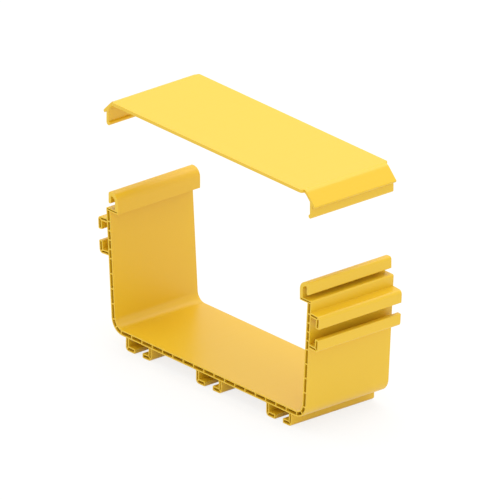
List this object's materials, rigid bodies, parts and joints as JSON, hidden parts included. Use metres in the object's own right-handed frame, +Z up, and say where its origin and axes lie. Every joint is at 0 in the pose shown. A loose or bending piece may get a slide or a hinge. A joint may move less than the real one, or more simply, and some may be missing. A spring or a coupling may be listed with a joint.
{
  "type": "fibre raceway trough with lid",
  "caption": "Flared U-shaped cable trough in hollow-walled yellow extrusion, with T-slot rails and hooked rims, and a bevelled clip-on lid that lifts straight off it.",
  "frame": {"origin": "middle of the run, between the two walls, at the level of the floor rails' lips", "axes": "+X across the channel, +Y along the raceway, +Z up towards the lid"},
  "size_m": [0.2856, 0.095, 0.22],
  "materials": {
    "trough_pvc": "satin extruded rigid PVC, saw-cut ends",
    "lid_pvc": "satin extruded rigid PVC, saw-cut ends"
  },
  "bodies": {
    "trough": {"trough": "trough_pvc"},
    "lid": {"lid": "lid_pvc"}
  },
  "joints": [
    {"name": "lid_lift", "type": "slide", "parent": "trough", "child": "lid", "axis": [0, 0, 1], "range_m": [-0.074, 0.016]}
  ]
}
